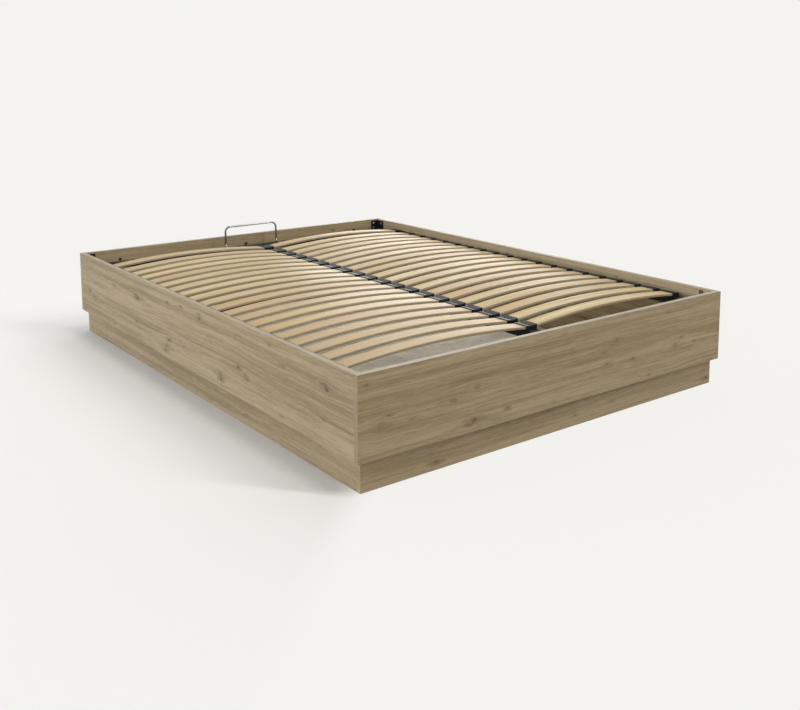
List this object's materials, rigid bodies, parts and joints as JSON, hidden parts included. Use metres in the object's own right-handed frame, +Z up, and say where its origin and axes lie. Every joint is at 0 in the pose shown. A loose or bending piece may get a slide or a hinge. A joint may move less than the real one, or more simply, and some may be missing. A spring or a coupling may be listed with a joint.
{
  "type": "ottoman bed",
  "caption": "Low boarded bed box on a recessed plinth with a lift-up sprung slat frame over the storage space, gas springs, pivots near the head and a bent-rod mattress retainer.",
  "frame": {"origin": "on the floor under the middle of the bed", "axes": "+X across the bed, +Y along it from the foot to the head, +Z up"},
  "size_m": [1.446, 1.946, 0.366],
  "materials": {
    "oak_board": "oak decor on chipboard, matt, grain along the board",
    "edge_band": "pale glued edge band",
    "floor_board": "pale grey coated hardboard",
    "batten": "planed softwood",
    "slat_birch": "bent birch lamination",
    "black_steel": "black powder coat",
    "zinc": "zinc plated",
    "chrome": "bright chrome plated",
    "black_plastic": "moulded black plastic",
    "brown_plastic": "brown cover cap",
    "rubber": "black rubber pad"
  },
  "bodies": {
    "base": {"bracket_screws": "zinc", "cam_bolts": "zinc", "cam_cover_caps": "brown_plastic", "cam_locks": "zinc", "center_floor_batten": "batten", "edge_bands": "edge_band", "foot_panel": "oak_board", "foot_plinth_board": "oak_board", "frame_rests": "black_steel", "head_corner_brackets": "black_steel", "head_panel": "oak_board", "head_plinth_board": "oak_board", "headboard_bushes": "black_plastic", "hinge_plate_screws": "zinc", "hinge_plates": "black_steel", "left_floor_board": "floor_board", "left_plinth_board": "oak_board", "left_side_panel": "oak_board", "pivot_lock_nuts": "zinc", "pivot_pins": "zinc", "pivot_spacers": "black_plastic", "rest_pads": "rubber", "rest_screws": "zinc", "right_floor_board": "floor_board", "right_plinth_board": "oak_board", "right_side_panel": "oak_board", "side_floor_battens": "batten", "strut_base_studs": "zinc"},
    "slat_frame": {"left_side_rail": "black_steel", "right_side_rail": "black_steel", "center_spine": "black_steel", "foot_cross_tube": "black_steel", "head_cross_tube": "black_steel", "middle_cross_tubes": "black_steel", "retainer_cross_tubes": "black_steel", "pivot_sleeves": "zinc", "rail_end_plugs": "black_plastic", "left_slats": "slat_birch", "right_slats": "slat_birch", "side_slat_caps": "black_plastic", "spine_slat_caps": "black_plastic", "mattress_retainer": "chrome", "retainer_clamps": "zinc", "strut_tabs": "black_steel"},
    "left_cylinder": {"left_gas_cylinder": "black_steel"},
    "left_rod": {"left_gas_rod": "chrome"},
    "right_cylinder": {"right_gas_cylinder": "black_steel"},
    "right_rod": {"right_gas_rod": "chrome"}
  },
  "joints": [
    {"name": "lift", "type": "hinge", "parent": "base", "child": "slat_frame", "pos_m": [0, 0.74, 0.2595], "axis": [-1, 0, 0], "range_deg": [0, 45]},
    {"name": "left_strut_swing", "type": "hinge", "parent": "base", "child": "left_cylinder", "pos_m": [-0.676, 0.663, 0.126], "axis": [-1, 0, 0], "range_deg": [0, 40]},
    {"name": "left_strut_extend", "type": "slide", "parent": "left_cylinder", "child": "left_rod", "axis": [0, -0.9141, 0.4054], "range_m": [0, 0.115]},
    {"name": "right_strut_swing", "type": "hinge", "parent": "base", "child": "right_cylinder", "pos_m": [0.676, 0.663, 0.126], "axis": [-1, 0, 0], "range_deg": [0, 40]},
    {"name": "right_strut_extend", "type": "slide", "parent": "right_cylinder", "child": "right_rod", "axis": [0, -0.9141, 0.4054], "range_m": [0, 0.115]}
  ],
  "couplings": [
    {"joint": "left_strut_swing", "follows": "lift", "ratio": 0.88379},
    {"joint": "left_strut_extend", "follows": "lift", "m_per_rad": 0.14598},
    {"joint": "right_strut_swing", "follows": "lift", "ratio": 0.88379},
    {"joint": "right_strut_extend", "follows": "lift", "m_per_rad": 0.14598}
  ]
}
